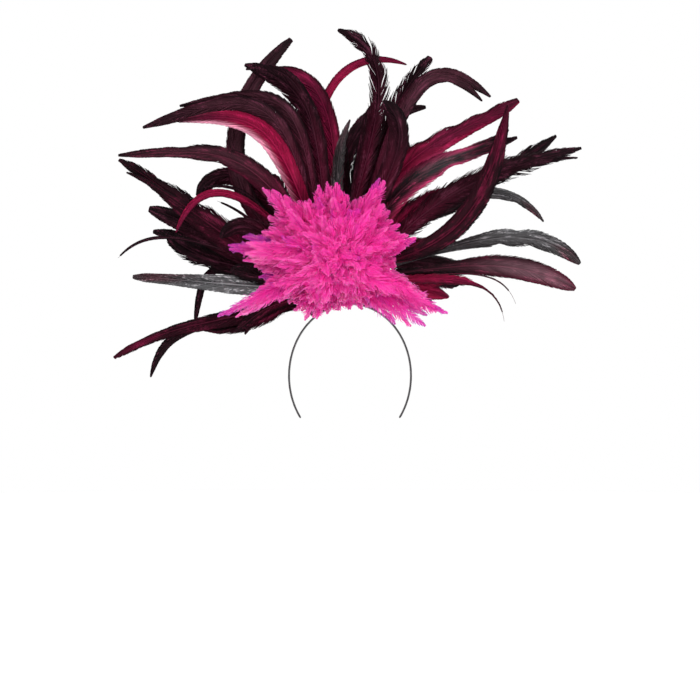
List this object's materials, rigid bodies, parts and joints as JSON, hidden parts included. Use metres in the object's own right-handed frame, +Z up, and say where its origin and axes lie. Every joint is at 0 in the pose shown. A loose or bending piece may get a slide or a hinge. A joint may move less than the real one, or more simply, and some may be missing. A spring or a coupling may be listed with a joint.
{
  "type": "carnival feather headdress",
  "caption": "Headband with a felt-covered pad, a wide fan of long curling tail feathers and a mound of short fluffy hackle feathers in front.",
  "frame": {"origin": "the point of the headband's inner face that rests on the top of the wearer's head", "axes": "+Z up, +Y towards the wearer's back, so that the wearer faces -Y, and +X towards the wearer's left hand"},
  "size_m": [0.5628, 0.146, 0.4648],
  "materials": {
    "band": "satin-covered flexible plastic",
    "felt": "black craft felt",
    "pink_hackle": "dyed hackle feathers, soft and matt",
    "burgundy_feather": "dyed tail feathers with a soft sheen",
    "crimson_feather": "dyed tail feathers with a soft sheen",
    "black_feather": "dark tail feathers with a wine-red tint",
    "grey_feather": "glossy grey-black tail feathers"
  },
  "bodies": {
    "root": {"headband": "band", "feather_base": "felt", "hackle_mound": "pink_hackle", "feather_left_1": "black_feather", "feather_left_2": "burgundy_feather", "feather_left_3": "grey_feather", "feather_left_4": "black_feather", "feather_left_5": "black_feather", "feather_left_6": "black_feather", "feather_left_7": "black_feather", "feather_left_8": "black_feather", "feather_left_9": "burgundy_feather", "feather_left_10": "black_feather", "feather_left_11": "black_feather", "feather_left_12": "crimson_feather", "feather_left_13": "black_feather", "feather_left_14": "burgundy_feather", "feather_left_15": "black_feather", "feather_left_16": "crimson_feather", "feather_left_17": "black_feather", "feather_top_1": "crimson_feather", "feather_top_2": "black_feather", "feather_top_3": "black_feather", "feather_top_4": "crimson_feather", "feather_top_5": "grey_feather", "feather_top_6": "black_feather", "feather_top_7": "black_feather", "feather_top_8": "black_feather", "feather_right_1": "black_feather", "feather_top_9": "black_feather", "feather_right_2": "black_feather", "feather_right_3": "black_feather", "feather_right_4": "black_feather", "feather_right_5": "burgundy_feather", "feather_right_6": "burgundy_feather", "feather_right_14": "crimson_feather", "feather_right_7": "grey_feather", "feather_right_8": "black_feather", "feather_right_9": "black_feather", "feather_right_10": "crimson_feather", "feather_right_11": "grey_feather", "feather_right_12": "burgundy_feather", "feather_right_13": "crimson_feather", "feather_right_15": "burgundy_feather"}
  },
  "joints": []
}
